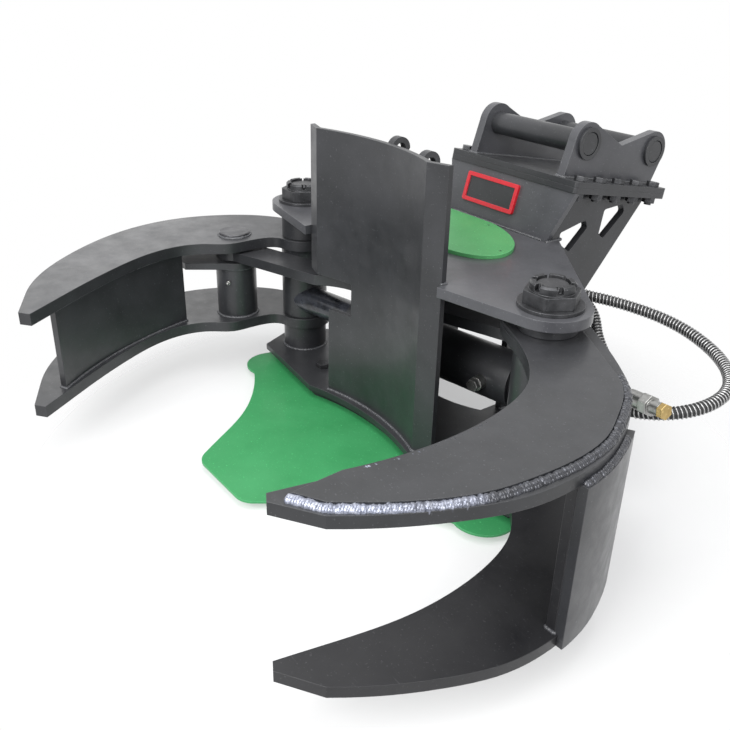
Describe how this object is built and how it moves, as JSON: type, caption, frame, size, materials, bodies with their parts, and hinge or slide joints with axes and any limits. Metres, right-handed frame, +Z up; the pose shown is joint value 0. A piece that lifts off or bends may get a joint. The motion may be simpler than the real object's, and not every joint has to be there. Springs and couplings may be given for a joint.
{
  "type": "excavator tree shear",
  "caption": "Hydraulic tree shear for an excavator: two curved clamp arms pull a trunk on to a fixed scalloped knife and an upright rest, with a pin hitch behind.",
  "frame": {"origin": "on the ground under the knife, midway between the two arm pivots", "axes": "+X across the arms towards the right arm, -Y towards the trunk, +Z up along the arm pivots"},
  "size_m": [1.4379, 1.3664, 0.6699],
  "materials": {
    "black_paint": "satin black paint over welded plate",
    "green_paint": "satin mid green paint",
    "light_green_paint": "satin light green paint",
    "red_paint": "gloss red paint",
    "dark_steel": "oiled dark steel",
    "pin_steel": "ground pin steel",
    "chrome_rod": "polished hard chrome",
    "zinc": "zinc plated steel",
    "brass": "turned brass",
    "hose_rubber": "matt black rubber"
  },
  "bodies": {
    "frame": {"top_plate": "black_paint", "lower_plate": "black_paint", "knife_seat": "black_paint", "knife": "green_paint", "knife_bolts": "dark_steel", "trunk_rest": "black_paint", "rest_lugs": "black_paint", "side_plate_left": "black_paint", "side_plate_right": "black_paint", "front_panel": "black_paint", "badge_plate": "red_paint", "cover_plate": "light_green_paint", "cover_screws": "light_green_paint", "lower_flange": "black_paint", "upper_flange": "black_paint", "flange_bolts": "dark_steel", "flange_nuts": "dark_steel", "hitch_ear_left": "black_paint", "hitch_ear_right": "black_paint", "hitch_pin_front": "black_paint", "hitch_pin_rear": "black_paint", "hitch_pin_rings": "black_paint", "pivot_pin_left": "pin_steel", "pivot_pin_right": "pin_steel", "castle_nuts": "dark_steel", "pivot_washers": "dark_steel", "left_upper_collar": "black_paint", "right_upper_collar": "black_paint", "left_lower_collar": "black_paint", "right_lower_collar": "black_paint", "hose_long": "hose_rubber", "hose_short": "hose_rubber", "hose_unions": "zinc", "long_hose_coupling": "zinc", "short_hose_coupling": "zinc", "short_hose_plug": "brass"},
    "left_arm": {"left_arm_top_plate": "black_paint", "left_arm_lower_plate": "black_paint", "left_arm_mid_plate": "black_paint", "left_arm_web": "black_paint", "left_link_boss": "black_paint", "left_link_pin": "pin_steel", "grease_nipple": "zinc"},
    "right_arm": {"right_arm_top_plate": "black_paint", "right_arm_lower_plate": "black_paint", "right_arm_doubler": "black_paint", "right_arm_web": "black_paint", "right_arm_band": "black_paint", "right_arm_hub": "black_paint", "crank_pin": "pin_steel", "crank_spacers": "black_paint"},
    "tie_link": {"tie_link": "black_paint"},
    "clamp_rod": {"clamp_sleeve": "black_paint", "clamp_rod": "chrome_rod"},
    "clamp_barrel": {"clamp_barrel": "black_paint", "clamp_gland": "black_paint", "clamp_ports": "zinc"}
  },
  "joints": [
    {"name": "right_arm_swing", "type": "hinge", "parent": "frame", "child": "right_arm", "pos_m": [0.4, 0, 0.2], "axis": [0, 0, -1], "range_deg": [0, 35]},
    {"name": "left_arm_swing", "type": "hinge", "parent": "frame", "child": "left_arm", "pos_m": [-0.4, 0, 0.2], "axis": [0, 0, 1], "range_deg": [0, 36.4]},
    {"name": "tie_link_swing", "type": "hinge", "parent": "left_arm", "child": "tie_link", "pos_m": [-0.495, -0.143, 0.303], "axis": [0, 0, 1], "range_deg": [-31.4, 0]},
    {"name": "clamp_rod_swing", "type": "hinge", "parent": "frame", "child": "clamp_rod", "pos_m": [-0.4, 0, 0.189], "axis": [0, 0, 1], "range_deg": [0, 1.4]},
    {"name": "clamp_barrel_swing", "type": "hinge", "parent": "right_arm", "child": "clamp_barrel", "pos_m": [0.31, 0.11, 0.189], "axis": [0, 0, 1], "range_deg": [0, 36.5]}
  ],
  "couplings": [
    {"joint": "left_arm_swing", "follows": "right_arm_swing", "ratio": 1.04},
    {"joint": "tie_link_swing", "follows": "right_arm_swing", "ratio": -0.896},
    {"joint": "clamp_rod_swing", "follows": "right_arm_swing", "ratio": 0.039},
    {"joint": "clamp_barrel_swing", "follows": "right_arm_swing", "ratio": 1.039}
  ]
}
